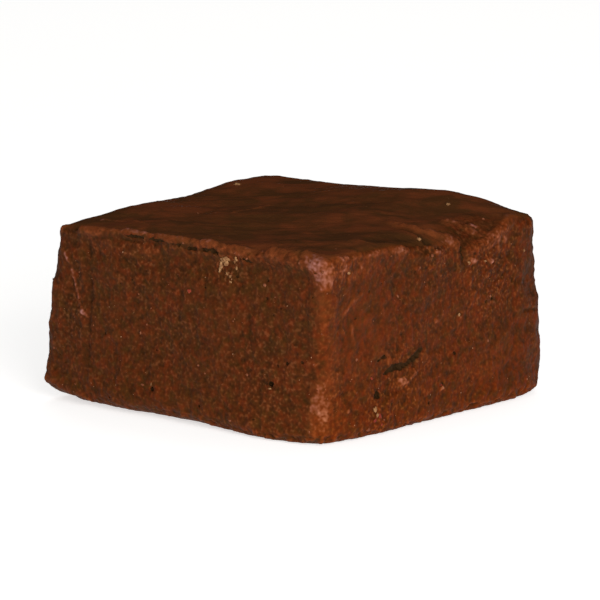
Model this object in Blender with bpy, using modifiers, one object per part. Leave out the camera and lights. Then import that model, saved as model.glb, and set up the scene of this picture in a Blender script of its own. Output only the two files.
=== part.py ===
"""One hand-cut block of chocolate fudge: a dense sweet poured into a pan, set, and cut square with a knife.

Metres, +Z up. The origin is the middle of the block's box, on the surface that the block lies on.
The front cut face looks along -Y, the right cut face along +X, and the poured skin is on top.
"""

import math

import bmesh
import bpy
from mathutils import Vector, noise

MM = 0.001

# The block, before its corners are pushed out of square.
LENGTH = 40.0 * MM  # along X, across the front face
DEPTH = 39.5 * MM  # along Y, across the right face
HEIGHT = 21.0 * MM  # how deep the fudge was poured

# The cage that the shape starts from, and the rounding of its edges.
CAGE_STEP = 2.9 * MM
EDGE_ROUND = 1.0 * MM
EDGE_SEGMENTS = 2

# How far each corner sits from a true box's: (x, y, z) in mm, for the block's left or right, front or back.
TOP_CORNERS = {
    ("left", "front"): (1.6, 0.6, -0.3),
    ("right", "front"): (0.3, 0.2, 0.1),
    ("right", "back"): (-0.1, -0.1, -0.3),
    ("left", "back"): (-0.5, 0.6, 0.0),
}
FOOT_CORNERS = {
    ("left", "front"): (-1.3, 0.1, 0.0),
    ("right", "front"): (0.0, -0.5, 0.0),
    ("right", "back"): (2.3, 2.0, 0.0),
    ("left", "back"): (-0.3, 0.4, 0.0),
}
# How far the foot of each upright edge is pulled in and lifted, in mm, and how far from it that reaches.
FOOT_BLUNTING = {
    ("left", "front"): (0.2, 1.5),
    ("right", "front"): (1.8, 0.2),
    ("right", "back"): (1.7, 0.5),
    ("left", "back"): (1.0, 0.5),
}
BLUNTING_REACH = 9.0 * MM

# The front edge of the underside is rounded up over this reach, from the left corner to where it fades out.
FRONT_FOOT_LIFT = 0.8 * MM
FRONT_FOOT_REACH = 5.0 * MM
FRONT_FOOT_FADE = (0.5, 0.85)  # shares of the way from left to right

# The top rises in a low swell near the back edge, where the paste was heaped.
# The back face bellies out.
SWELL_HEIGHT = 1.2 * MM
SWELL_AT = (5.0 * MM, 15.0 * MM)
SWELL_RADIUS = 19.0 * MM
BACK_BELLY = 1.2 * MM

# The knife's long waves in the sides, and the small unevenness of the paste.
WAVE_LENGTH = 11.0 * MM
WAVE_DEPTH = 0.45 * MM
UNEVEN_LENGTH = 3.6 * MM
UNEVEN_DEPTH = 0.16 * MM

# The poured skin is firmer than the paste under it, so it stands out as a lip along the top edges.
# It is strongest on the front face.
LIP_BELOW_TOP = 0.9 * MM
LIP_STANDS_OUT = 0.28 * MM
GROOVE_BELOW_TOP = 2.4 * MM
GROOVE_DEPTH = 0.18 * MM
LIP_SHARE = {"front": 1.0, "right": 0.35, "back": 0.6, "left": 0.8}
LIP_WAVE_LENGTH = 6.0 * MM  # along the edge the lip grows and fades
LIP_WAVE_SHARE = 0.8

FOOT_BLEND = 1.6 * MM  # the relief fades out over this height, so that the underside stays flat
SEED_OFFSET = Vector((3.1, 7.7, 1.9))


def clear_scene():
    for old in list(bpy.data.objects):
        bpy.data.objects.remove(old, do_unlink=True)


def fudge_material():
    material = bpy.data.materials.new("chocolate_fudge")
    material.use_nodes = True
    shader = material.node_tree.nodes["Principled BSDF"]
    shader.inputs["Base Color"].default_value = (0.085, 0.026, 0.009, 1.0)
    shader.inputs["Roughness"].default_value = 0.52
    shader.inputs["Metallic"].default_value = 0.0
    return material


def cage_of_block():
    """A box of LENGTH by DEPTH by HEIGHT standing on Z = 0, cut into squares of about CAGE_STEP."""
    bm = bmesh.new()
    bmesh.ops.create_cube(bm, size=1.0)
    for vert in bm.verts:
        vert.co = Vector((vert.co.x * LENGTH, vert.co.y * DEPTH, (vert.co.z + 0.5) * HEIGHT))
    for axis, size in enumerate((LENGTH, DEPTH, HEIGHT)):
        along = [e for e in bm.edges if abs(e.verts[0].co[axis] - e.verts[1].co[axis]) > size / 2]
        cuts = round(size / CAGE_STEP) - 1
        bmesh.ops.subdivide_edges(bm, edges=along, cuts=cuts, use_grid_fill=True)
    mesh = bpy.data.meshes.new("fudge_cage")
    bm.to_mesh(mesh)
    bm.free()
    return mesh


def rounded_mesh(cage):
    """The cage with its twelve edges rounded by Bevel and smoothed once, as a plain mesh."""
    helper = bpy.data.objects.new("fudge_cage", cage)
    bpy.context.scene.collection.objects.link(helper)
    bevel = helper.modifiers.new("round_edges", "BEVEL")
    bevel.width = EDGE_ROUND
    bevel.segments = EDGE_SEGMENTS
    bevel.limit_method = "ANGLE"
    smooth = helper.modifiers.new("smooth", "SUBSURF")
    smooth.levels = 1
    smooth.render_levels = 1
    graph = bpy.context.evaluated_depsgraph_get()
    mesh = bpy.data.meshes.new_from_object(helper.evaluated_get(graph))
    bpy.data.objects.remove(helper)
    return mesh


def smooth_step(low, high, value):
    share = min(1.0, max(0.0, (value - low) / (high - low)))
    return share * share * (3.0 - 2.0 * share)


def corner_shift(point):
    """The eight corners' shifts, blended over the block."""
    right = point.x / LENGTH + 0.5
    back = point.y / DEPTH + 0.5
    up = point.z / HEIGHT
    shift = Vector((0.0, 0.0, 0.0))
    for corners, share_up in ((FOOT_CORNERS, 1.0 - up), (TOP_CORNERS, up)):
        for (side, end), offset in corners.items():
            share_side = right if side == "right" else 1.0 - right
            share_end = back if end == "back" else 1.0 - back
            shift += Vector(offset) * MM * share_up * share_side * share_end
    return shift


def blunting(point):
    """Pulls the foot of each upright edge in towards the middle of the block, and lifts it a little."""
    push = Vector((0.0, 0.0, 0.0))
    for (side, end), (pull, lift) in FOOT_BLUNTING.items():
        x = LENGTH / 2 if side == "right" else -LENGTH / 2
        y = DEPTH / 2 if end == "back" else -DEPTH / 2
        corner = Vector((x, y, 0.0))
        away = Vector((point.x, point.y, 0.0)) - corner
        near = max(0.0, 1.0 - away.length / BLUNTING_REACH) ** 2
        push += (Vector((0.0, 0.0, lift)) - corner.normalized() * pull) * MM * near
    return push * (1.0 - smooth_step(0.0, HEIGHT, point.z))


def front_foot_lift(point):
    """Rounds up the front edge of the underside."""
    near = max(0.0, 1.0 - (point.y + DEPTH / 2) / FRONT_FOOT_REACH) ** 2
    left = 1.0 - smooth_step(*FRONT_FOOT_FADE, point.x / LENGTH + 0.5)
    low = 1.0 - smooth_step(0.0, HEIGHT / 2, point.z)
    return Vector((0.0, 0.0, FRONT_FOOT_LIFT * near * left * low))


def swell(point):
    """The broad rise of the top, and the belly of the back face."""
    up = point.z / HEIGHT
    away = math.hypot(point.x - SWELL_AT[0], point.y - SWELL_AT[1]) / SWELL_RADIUS
    rise = SWELL_HEIGHT * (1.0 - smooth_step(0.0, 1.0, away)) * up
    across = max(0.0, 1.0 - (2.0 * point.x / LENGTH) ** 2)
    belly = BACK_BELLY * across * (0.5 + point.y / DEPTH)
    return Vector((0.0, belly, rise))


def uneven(point, wave_length, depth):
    """A smooth wave of about this length, between minus and plus this depth."""
    return depth * noise.noise(point / wave_length + SEED_OFFSET)


def lip_profile(below_top):
    """How far the side stands out at this distance under the top: a lip, then a shallow groove."""
    lip = max(0.0, 1.0 - ((below_top - LIP_BELOW_TOP) / LIP_BELOW_TOP) ** 2)
    groove = max(0.0, 1.0 - ((below_top - GROOVE_BELOW_TOP) / (GROOVE_BELOW_TOP - LIP_BELOW_TOP)) ** 2)
    return LIP_STANDS_OUT * lip - GROOVE_DEPTH * groove


def lip_share(normal):
    """How much of the lip the face that looks along this normal has."""
    along_x = LIP_SHARE["right"] if normal.x > 0.0 else LIP_SHARE["left"]
    along_y = LIP_SHARE["back"] if normal.y > 0.0 else LIP_SHARE["front"]
    return along_x * normal.x**2 + along_y * normal.y**2


def relief(point, normal):
    """How far the surface stands out at this point, along its normal."""
    height = uneven(point, WAVE_LENGTH, WAVE_DEPTH) + uneven(point, UNEVEN_LENGTH, UNEVEN_DEPTH)
    lip = lip_profile(HEIGHT - point.z) * lip_share(normal)
    height += lip * (1.0 + uneven(point, LIP_WAVE_LENGTH, LIP_WAVE_SHARE))
    return height * smooth_step(0.0, FOOT_BLEND, point.z)


def shape_block(mesh):
    normals = [v.normal.copy() for v in mesh.vertices]
    for vert, normal in zip(mesh.vertices, normals):
        point = vert.co.copy()
        moved = corner_shift(point) + blunting(point) + front_foot_lift(point) + swell(point)
        vert.co = point + moved + normal * relief(point, normal)
    mesh.update()


def stand_on_origin(mesh):
    """Centres the box over the origin and sets the underside on Z = 0."""
    points = [v.co for v in mesh.vertices]
    low = [min(p[axis] for p in points) for axis in range(3)]
    high = [max(p[axis] for p in points) for axis in range(3)]
    middle = Vector(((low[0] + high[0]) / 2, (low[1] + high[1]) / 2, low[2]))
    for vert in mesh.vertices:
        vert.co = vert.co - middle


def build():
    clear_scene()
    collection = bpy.data.collections.new("chocolate_fudge")
    bpy.context.scene.collection.children.link(collection)
    mesh = rounded_mesh(cage_of_block())
    shape_block(mesh)
    stand_on_origin(mesh)
    mesh.materials.append(fudge_material())
    mesh.shade_smooth()
    block = bpy.data.objects.new("fudge_block", mesh)
    collection.objects.link(block)


build()
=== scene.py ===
# A hand-cut block of chocolate fudge: dark grainy paste with a smooth poured top,
# knife-dragged sides, air holes, a split, crumbs and a stray lump of sugar
import math

import bmesh
import bpy
import numpy as np
from mathutils import Matrix, Vector, noise
from mathutils.bvhtree import BVHTree


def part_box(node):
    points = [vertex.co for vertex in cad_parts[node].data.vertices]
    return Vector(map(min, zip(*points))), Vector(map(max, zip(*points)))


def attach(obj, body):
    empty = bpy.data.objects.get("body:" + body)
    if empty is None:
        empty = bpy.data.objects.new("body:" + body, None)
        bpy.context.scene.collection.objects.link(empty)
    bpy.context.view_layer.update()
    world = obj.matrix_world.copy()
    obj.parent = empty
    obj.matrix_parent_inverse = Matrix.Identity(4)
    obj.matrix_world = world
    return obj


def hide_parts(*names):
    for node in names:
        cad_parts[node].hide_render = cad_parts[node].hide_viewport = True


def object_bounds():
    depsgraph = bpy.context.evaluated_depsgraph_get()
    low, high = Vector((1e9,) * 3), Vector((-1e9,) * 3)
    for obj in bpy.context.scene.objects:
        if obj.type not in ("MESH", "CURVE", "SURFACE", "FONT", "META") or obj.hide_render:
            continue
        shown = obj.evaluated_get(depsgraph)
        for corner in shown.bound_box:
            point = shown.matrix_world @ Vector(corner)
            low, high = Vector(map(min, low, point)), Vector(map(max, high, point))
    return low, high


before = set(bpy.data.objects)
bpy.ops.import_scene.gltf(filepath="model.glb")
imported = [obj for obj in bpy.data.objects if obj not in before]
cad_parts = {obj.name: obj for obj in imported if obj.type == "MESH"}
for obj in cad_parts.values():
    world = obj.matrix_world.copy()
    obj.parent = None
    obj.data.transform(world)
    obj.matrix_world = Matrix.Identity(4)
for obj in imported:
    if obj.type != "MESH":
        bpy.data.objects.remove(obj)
cadLow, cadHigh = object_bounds()
blockNode = "fudge_block"
bodyName = "root"
mm = 0.001
perSquareMm = 1.0e6  # turns a count for each square mm into one for each square metre
blockLow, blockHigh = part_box(blockNode)
blockSize = blockHigh - blockLow
print("frame loaded, block of", [round(v / mm, 1) for v in blockSize], "mm")


# helpers for node trees
def pick(sockets, name):
    # a socket by its place, or the one in use of that name
    if isinstance(name, int):
        return sockets[name]
    return next(socket for socket in sockets if socket.name == name and socket.enabled)


def plug(tree, value, socket):
    # another node's socket is linked, anything else is typed in
    if isinstance(value, bpy.types.NodeSocket):
        tree.links.new(value, socket)
    else:
        socket.default_value = value


def put(tree, kind, inputs=None, **settings):
    made = tree.nodes.new(kind)
    for name, value in settings.items():
        setattr(made, name, value)
    for name, value in (inputs or {}).items():
        plug(tree, value, pick(made.inputs, name))
    return made


def calc(tree, operation, *values, clamp=False):
    made = put(tree, "ShaderNodeMath", operation=operation, use_clamp=clamp)
    for slot, value in enumerate(values):
        plug(tree, value, made.inputs[slot])
    return made.outputs[0]


def addUp(tree, *values, clamp=False):
    total = values[0]
    for value in values[1:-1]:
        total = calc(tree, "ADD", total, value)
    return calc(tree, "ADD", total, values[-1], clamp=clamp)


def times(tree, *values, clamp=False):
    total = values[0]
    for value in values[1:-1]:
        total = calc(tree, "MULTIPLY", total, value)
    return calc(tree, "MULTIPLY", total, values[-1], clamp=clamp)


def blend(tree, weights, *values, clamp=False):
    # each value times its weight, all added up; a weight left over is added on its own
    parts = [times(tree, value, weight) for value, weight in zip(values, weights)]
    return addUp(tree, *parts, *weights[len(values):], clamp=clamp)


def vecCalc(tree, operation, *values):
    made = put(tree, "ShaderNodeVectorMath", operation=operation)
    for slot, value in enumerate(values):
        plug(tree, value, pick(made.inputs, "Scale" if (operation, slot) == ("SCALE", 1) else slot))
    return made.outputs["Value" if operation == "DOT_PRODUCT" else "Vector"]


def split(tree, vector):
    # its three parts
    return put(tree, "ShaderNodeSeparateXYZ", {0: vector}).outputs


def remap(tree, value, fromLow, fromHigh, toLow=0.0, toHigh=1.0, kind="SMOOTHSTEP"):
    made = put(tree, "ShaderNodeMapRange", interpolation_type=kind)
    for slot, number in enumerate((value, fromLow, fromHigh, toLow, toHigh)):
        plug(tree, number, made.inputs[slot])
    return made.outputs[0]


def cloud(tree, place, size, detail=2.0, rough=0.5, bend=0.0, stretch=(1, 1, 1)):
    # a noise centred on zero, with lumps of about this size in metres
    scaled = vecCalc(tree, "MULTIPLY", place, stretch)
    lumps = put(tree, "ShaderNodeTexNoise", {"Vector": scaled, "Detail": detail, "Roughness": rough})
    lumps.inputs["Distortion"].default_value = bend
    if isinstance(size, float):
        lumps.inputs["Scale"].default_value = 1.0 / size
    else:
        plug(tree, calc(tree, "DIVIDE", 1.0, size), lumps.inputs["Scale"])
    return calc(tree, "SUBTRACT", lumps.outputs[0], 0.5)


def soften(tree, value, rings):
    # spreads a vector over this many rings of neighbouring points
    settings = {"Value": value, "Iterations": rings}
    return pick(put(tree, "GeometryNodeBlurAttribute", settings, data_type="FLOAT_VECTOR").outputs, "Value")


def placeAndFacing(tree):
    return [put(tree, "GeometryNodeInput" + name).outputs[0] for name in ("Position", "Normal")]


def shifted(tree, geometry, offset):
    return put(tree, "GeometryNodeSetPosition", {"Geometry": geometry, "Offset": offset}).outputs[0]


def shapeMark(tree, name):
    return put(tree, "GeometryNodeInputNamedAttribute", {"Name": name}, data_type="FLOAT").outputs[0]


def keep(tree, geometry, **marks):
    for name, value in marks.items():
        settings = {"Geometry": geometry, "Name": name, "Value": value}
        geometry = put(tree, "GeometryNodeStoreNamedAttribute", settings).outputs[0]
    return geometry


def newShapeTree(name, sizes):
    # an empty geometry tree with a named input for each size; returns it with its two end nodes
    tree = bpy.data.node_groups.new(name, "GeometryNodeTree")
    tree.interface.new_socket("Geometry", in_out="INPUT", socket_type="NodeSocketGeometry")
    tree.interface.new_socket("Geometry", in_out="OUTPUT", socket_type="NodeSocketGeometry")
    for size, value in sizes.items():
        kind = "NodeSocketInt" if isinstance(value, int) else "NodeSocketFloat"
        tree.interface.new_socket(size, in_out="INPUT", socket_type=kind)
    return tree, tree.nodes.new("NodeGroupInput"), tree.nodes.new("NodeGroupOutput")


def finishShapeTree(tree, geometry, material, end):
    real = put(tree, "GeometryNodeRealizeInstances", {"Geometry": geometry})
    painted = put(tree, "GeometryNodeSetMaterial", {"Geometry": real.outputs[0], "Material": material})
    tree.links.new(painted.outputs[0], end.inputs[0])
    return tree


def strew(tree, given, factor):
    # points scattered over the mesh, dense where the factor is high
    settings = {
        "Mesh": given["Geometry"],
        "Distance Min": given["spacing"],
        "Density Max": times(tree, given["density"], perSquareMm),
        "Density Factor": factor,
        "Seed": given["seed"],
    }
    kind = "GeometryNodeDistributePointsOnFaces"
    return put(tree, kind, settings, distribute_method="POISSON").outputs


def anyRadius(tree, given, power):
    # a size between the smallest and the largest; the higher the power, the rarer the large ones
    chance = put(tree, "FunctionNodeRandomValue", {"Min": 0.0, "Max": 1.0, "Seed": given["seed"]})
    share = calc(tree, "POWER", pick(chance.outputs, "Value"), power)
    spread = calc(tree, "SUBTRACT", given["largest"], given["smallest"])
    return addUp(tree, given["smallest"], times(tree, share, spread))


def anyVector(tree, low, high, seed):
    settings = {"Min": low, "Max": high, "Seed": seed}
    return pick(put(tree, "FunctionNodeRandomValue", settings, data_type="FLOAT_VECTOR").outputs, "Value")


# helpers for objects and meshes
def newObject(name, data):
    made = bpy.data.objects.new(name, data)
    bpy.context.scene.collection.objects.link(made)
    return made


def newMaterial(name):
    material = bpy.data.materials.new(name)
    material.use_nodes = True
    return material, material.node_tree, material.node_tree.nodes["Principled BSDF"]


def meshFrom(bm, name):
    mesh = bpy.data.meshes.new(name)
    bm.to_mesh(mesh)
    bm.free()
    return mesh


def applyAll(thing):
    # the object's modifiers become its plain mesh
    graph = bpy.context.evaluated_depsgraph_get()
    graph.update()
    mesh = bpy.data.meshes.new_from_object(thing.evaluated_get(graph))
    thing.modifiers.clear()
    old = thing.data
    thing.data = mesh
    bpy.data.meshes.remove(old)


def makeEven(thing, voxel):
    even = thing.modifiers.new("even", "REMESH")
    even.mode = "VOXEL"
    even.voxel_size = voxel
    applyAll(thing)


def applyTree(thing, tree, sizes):
    modifier = thing.modifiers.new(tree.name, "NODES")
    modifier.node_group = tree
    for socket in tree.interface.items_tree:
        if socket.in_out == "INPUT" and socket.name in sizes:
            modifier[socket.identifier] = sizes[socket.name]
    applyAll(thing)


def triangleCount(mesh):
    return sum(len(face.vertices) - 2 for face in mesh.polygons)


def gather(items, name, width):
    values = np.empty(len(items) * width)
    items.foreach_get(name, values)
    return values.reshape(-1, width)


def readPoints(mesh):
    return gather(mesh.vertices, "co", 3)


def readNormals(mesh):
    return gather(mesh.vertex_normals, "vector", 3)


def writePoints(mesh, points):
    mesh.vertices.foreach_set("co", points.ravel())
    mesh.update()


def roughen(mesh, size, depth):
    rough = [noise.noise(Vector(point) / size) for point in readPoints(mesh)]
    writePoints(mesh, readPoints(mesh) + readNormals(mesh) * np.array(rough)[:, None] * depth)


def readMark(mesh, name):
    return gather(mesh.attributes[name].data, "value", 1).ravel()


def writeMark(mesh, name, values):
    if name in mesh.attributes:
        mesh.attributes.remove(mesh.attributes[name])
    mesh.attributes.new(name, "FLOAT", "POINT").data.foreach_set("value", values)


def smoothStep(low, high, value):
    share = np.clip((value - low) / (high - low), 0.0, 1.0)
    return share * share * (3.0 - 2.0 * share)


def treeOf(mesh):
    # lets a straight line be followed until it meets the mesh
    return BVHTree.FromPolygons([v.co for v in mesh.vertices], [f.vertices for f in mesh.polygons])


# camera, light and floor
viewSettings = {
    "azimuth": 38.5,  # degrees round from the front
    "elevation": 11.0,
    "distance": 0.483,
    "shownWidth": 0.068,  # how much the picture spans at the block
    "sensor": 36.0,
    "nearest": 0.01,
    "furthest": 50.0,
}

studioSettings = {
    "floorSize": 12.0,
    "floor": {
        "Base Color": (0.82, 0.81, 0.79, 1),
        "Roughness": 0.9,
        "Specular IOR Level": 0.0,
        "Emission Color": (1, 1, 1, 1),
        "Emission Strength": 0.62,
    },
    "worldFill": 0.20,
    "worldGloss": 0.02,
    "worldSeen": 1.0,
    "lamps": [
        # name, degrees round from the front, degrees up, distance, size, power
        ("key", 58.0, 16.0, 0.55, 0.28, 2.35),
        ("front", 30.0, 10.0, 0.40, 0.28, 0.54),
        ("back", 215.0, 55.0, 0.7, 0.5, 0.9),
    ],
}


def around(azimuth, elevation, distance, centre):
    a = math.radians(azimuth)
    e = math.radians(elevation)
    away = Vector((math.sin(a) * math.cos(e), -math.cos(a) * math.cos(e), math.sin(e)))
    return centre + away * distance


def aim(thing, target):
    thing.rotation_euler = (target - thing.location).to_track_quat("-Z", "Y").to_euler()


def addCamera(settings, centre):
    data = bpy.data.cameras.new("camera")
    data.sensor_width = settings["sensor"]
    data.lens = settings["sensor"] * settings["distance"] / settings["shownWidth"]
    data.clip_start = settings["nearest"]
    data.clip_end = settings["furthest"]
    camera = newObject("camera", data)
    camera.location = around(settings["azimuth"], settings["elevation"], settings["distance"], centre)
    aim(camera, centre)
    bpy.context.scene.camera = camera


def addSoftLight(name, azimuth, elevation, distance, size, power, centre):
    data = bpy.data.lights.new(name + "Light", "AREA")
    data.shape = "SQUARE"
    data.size = size
    data.energy = power
    lamp = newObject(name + "Light", data)
    lamp.location = around(azimuth, elevation, distance, centre)
    aim(lamp, centre)
    return lamp


def addWorld(settings):
    # white behind the block, dimmer as fill light, almost dark in reflections so that the top stays deep
    world = bpy.data.worlds.new("studio")
    bpy.context.scene.world = world
    world.use_nodes = True
    tree = world.node_tree
    tree.nodes.clear()
    path = put(tree, "ShaderNodeLightPath")
    glows = []
    for name in ("worldFill", "worldGloss", "worldSeen"):
        glows.append(put(tree, "ShaderNodeBackground", {"Color": (1, 1, 1, 1), "Strength": settings[name]}))
    fill, gloss, seen = (glow.outputs[0] for glow in glows)
    lit = put(tree, "ShaderNodeMixShader", {0: path.outputs["Is Glossy Ray"], 1: fill, 2: gloss})
    shown = put(tree, "ShaderNodeMixShader", {0: path.outputs["Is Camera Ray"], 1: lit.outputs[0], 2: seen})
    put(tree, "ShaderNodeOutputWorld", {"Surface": shown.outputs[0]})


def addFloor(settings):
    bpy.ops.mesh.primitive_plane_add(size=settings["floorSize"])
    floor = bpy.context.object
    floor.name = "studio_floor"
    material, _, shader = newMaterial("floor")
    for name, value in settings["floor"].items():
        shader.inputs[name].default_value = value
    floor.data.materials.append(material)


blockCentre = (cadLow + cadHigh) / 2
addCamera(viewSettings, blockCentre)
lamps = [addSoftLight(*lamp, blockCentre) for lamp in studioSettings["lamps"]]
lamps[-1].visible_glossy = False  # the back light only lifts the shadows, so that the top keeps its depth
addWorld(studioSettings)
addFloor(studioSettings)
bpy.context.scene.view_settings.view_transform = "Standard"
print("camera, lights and floor are in place")


# the paste
fudgeLook = {
    "paste": (0.068, 0.0158, 0.0035),
    "pasteDark": (0.035, 0.0106, 0.0023),
    "pasteOlive": (0.054, 0.0190, 0.0035),
    "pasteRed": (0.094, 0.0158, 0.0030),
    "grain": (0.175, 0.0620, 0.0230),  # fine sugar that shows as pale dots
    "wornAndHighlight": (0.158, 0.0360, 0.0098),  # rubbed edges and pale marks, also painted highlights on the lit edges, lip and ridges
    "bloomAndHighlight": (0.235, 0.097, 0.074),  # dull pink film of sugar where the paste was handled, and a painted pinkish highlight on the lit near corner and lip
    # painted shade for hollows, hole walls, grooves and dark marks
    "hollow": (0.024, 0.0120, 0.0042),
    "top": (0.080, 0.0265, 0.0064),
    "topRed": (0.140, 0.0330, 0.0082),
    "frontTint": (0.975, 1.01, 1.09),  # the front face is browner than the right one
    "rightTint": (1.0, 0.95, 0.80),
    "floorBounceTint": (1.08, 1.0, 0.66),  # painted warm bounce light from the floor, near the foot
    "lowReach": 9.0 * mm,
    "roughSide": 0.62,
    "roughTop": 0.54,
    "gloss": 0.07,
    "glossTint": (1.0, 0.45, 0.25),
    "bumpDepth": 0.34 * mm,
    "bumpStrength": 0.9,
    "aside": (31 * mm, 17 * mm, 53 * mm),  # how far one cloud is moved off the next
}

fudgeClouds = {
    # size of the lumps, detail, roughness, bend, stretch
    "broad": (8.0 * mm, 2.0, 0.5, 0.4),
    "patch": (2.3 * mm, 2.0, 0.5, 0.8),
    "swirl": (5.5 * mm, 2.0, 0.5, 2.2, (1, 1, 1.6)),
    "grain": (0.60 * mm, 1.0, 0.55),
    "redPatch": (1.5 * mm, 2.0, 0.5, 0.5),
    "olivePatch": (2.4 * mm, 2.0, 0.5, 0.5),
    "fine": (0.34 * mm, 0.0),
    "tinge": (1.3 * mm, 0.0),
    "streak": (3.0 * mm, 1.5, 0.5, 0.8),
}

fudgeWeights = {
    # how much each cloud or mark counts, in the order it is given, then what is added to all
    "speckle": (1.6, 0.7),
    "mottle": (1.5, 1.1, 1.5, 1.0, 0.64),
    "olive": (3.4, -0.15, 0.25),
    "red": (2.2, 0.22, 1.8, 0.16),
    "pinprick": (1.0, 0.5),
    "topRed": (2.2, 1.2, 2.6, 0.42),
    "wornAndHighlight": (1.6, 0.75),
    "paleMarksAndHighlights": (1.5, 1.2, 1.0),
    "pinkFilmAndHighlight": (1.8, 1.6, 1.8, 1.0),
    "low": (0.55, 0.45),
    "shade": (0.8, 0.7, 0.3),
    "shadeCrumbly": (0.9, 0.4),
    "relief": (1.0, 0.15),
    "reliefShare": (0.14, 0.36, 0.03),
}

fudgeLimits = {
    "pinprick": (0.10, 0.24),  # the fine cloud shows as a pale dot from here to here
    "pinprickShare": 0.34,  # how strong a dot is where the paste is crumbly
    "paleMarksAndHighlights": 2.8,  # how fast pale marks and painted highlights take the rubbed colour
    "pinkFilmAndHighlight": (0.17, 0.60, 0.0, 0.9),  # where the pink film and painted pinkish highlight start and are full, none and most of it
    "roughGrain": 0.35,
}


def mixColour(tree, share, first, second):
    colours = [c if isinstance(c, bpy.types.NodeSocket) else (*c, 1) for c in (first, second)]
    made = put(tree, "ShaderNodeMix", data_type="RGBA")
    for name, value in (("Factor", share), ("A", colours[0]), ("B", colours[1])):
        plug(tree, value, pick(made.inputs, name))
    return pick(made.outputs, "Result")


def makeFudgeMaterial(look, clouds, weights, limits):
    material, tree, shader = newMaterial("fudge")
    place = put(tree, "ShaderNodeTexCoord").outputs["Object"]
    aside = vecCalc(tree, "ADD", place, look["aside"])
    marks = ("wear", "hollow", "topSkin", "redder", "toneAndPaintedLight", "crumbly")
    marks = [put(tree, "ShaderNodeAttribute", attribute_name=name).outputs["Fac"] for name in marks]
    wear, hollow, top, red, toneAndPaintedLight, crumbly = marks
    side = calc(tree, "SUBTRACT", 1.0, top)

    def lumps(name, where=place):
        return cloud(tree, where, *clouds[name])

    def weigh(name, *values, clamp=False):
        return blend(tree, weights[name], *values, clamp=clamp)

    broad = lumps("broad")
    patch = lumps("patch")
    swirl = lumps("swirl", vecCalc(tree, "ADD", place, aside))
    grain = lumps("grain")
    redPatch = lumps("redPatch", aside)
    olivePatch = lumps("olivePatch", vecCalc(tree, "ADD", aside, aside))
    fine = lumps("fine", aside)
    tinge = lumps("tinge", vecCalc(tree, "ADD", place, place))
    streak = lumps("streak", aside)

    # the cut paste: mottled, with olive and red patches and pale dots
    speckle = times(tree, grain, weigh("speckle", crumbly))
    mottle = weigh("mottle", patch, broad, swirl, speckle, clamp=True)
    colour = mixColour(tree, mottle, look["pasteDark"], look["paste"])
    colour = mixColour(tree, weigh("olive", olivePatch, red, clamp=True), colour, look["pasteOlive"])
    colour = mixColour(tree, weigh("red", redPatch, red, tinge, clamp=True), colour, look["pasteRed"])
    pinprick = remap(tree, weigh("pinprick", fine, grain), *limits["pinprick"])
    pinprick = times(tree, pinprick, times(tree, crumbly, limits["pinprickShare"]), clamp=True)
    colour = mixColour(tree, pinprick, colour, look["grain"])

    # the poured top
    topShade = weigh("topRed", streak, redPatch, broad, clamp=True)
    colour = mixColour(tree, top, colour, mixColour(tree, topShade, look["top"], look["topRed"]))

    # rubbed edges, pale marks and the dull film on them, which also paint highlights on the lit edges, the
    # lip, the ridges and the near corner
    rubbedAndHighlight = times(tree, wear, weigh("wornAndHighlight", grain), clamp=True)
    colour = mixColour(tree, rubbedAndHighlight, colour, look["wornAndHighlight"])
    # pale marks include painted highlights along the lip, the edges and the ridges
    paleAndHighlight = calc(tree, "MAXIMUM", toneAndPaintedLight, 0.0)
    paleMarksAndHighlights = times(tree, paleAndHighlight, limits["paleMarksAndHighlights"], weigh("paleMarksAndHighlights", grain, patch), clamp=True)
    colour = mixColour(tree, paleMarksAndHighlights, colour, look["wornAndHighlight"])
    pinkFilmAndHighlight = times(tree, paleAndHighlight, weigh("pinkFilmAndHighlight", grain, fine, patch))
    colour = mixColour(tree, remap(tree, pinkFilmAndHighlight, *limits["pinkFilmAndHighlight"], "LINEAR"), colour, look["bloomAndHighlight"])

    # the tint of each face, painted warm bounce light from the floor near the foot, a fine light and shade,
    # and painted shade in hollows and dark marks
    tint = mixColour(tree, red, look["frontTint"], look["rightTint"])
    # painted bounce light from the floor: warmer towards the foot, more so on the right face
    low = times(tree, remap(tree, split(tree, place)[2], look["lowReach"], 0.0), weigh("low", red))
    tint = vecCalc(tree, "MULTIPLY", tint, mixColour(tree, low, (1, 1, 1), look["floorBounceTint"]))
    shade = times(tree, weigh("shade", fine, grain, patch), side, weigh("shadeCrumbly", crumbly))
    shade = addUp(tree, shade, 1.0)
    colour = vecCalc(tree, "SCALE", vecCalc(tree, "MULTIPLY", colour, tint), shade)
    # dark marks and painted shade (grooves, under the lip, the far facet, the foot, hollows and hole walls)
    # take the hollow shade colour
    darkAndPaintedShade = calc(tree, "MAXIMUM", calc(tree, "SUBTRACT", 0.0, toneAndPaintedLight), hollow, clamp=True)
    colour = mixColour(tree, darkAndPaintedShade, colour, look["hollow"])
    plug(tree, colour, shader.inputs["Base Color"])

    rough = addUp(tree, look["roughSide"], times(tree, grain, limits["roughGrain"]))
    drop = times(tree, top, look["roughSide"] - look["roughTop"])
    plug(tree, calc(tree, "SUBTRACT", rough, drop), shader.inputs["Roughness"])
    shader.inputs["Specular IOR Level"].default_value = look["gloss"]
    shader.inputs["Specular Tint"].default_value = (*look["glossTint"], 1)

    relief = times(tree, weigh("relief", grain, fine), weigh("reliefShare", side, crumbly))
    bump = put(tree, "ShaderNodeBump", {"Height": relief})
    bump.inputs["Strength"].default_value = look["bumpStrength"]
    bump.inputs["Distance"].default_value = look["bumpDepth"]
    tree.links.new(bump.outputs[0], shader.inputs["Normal"])
    return material


fudgeMaterial = makeFudgeMaterial(fudgeLook, fudgeClouds, fudgeWeights, fudgeLimits)
print("fudge material is mixed")


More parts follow.
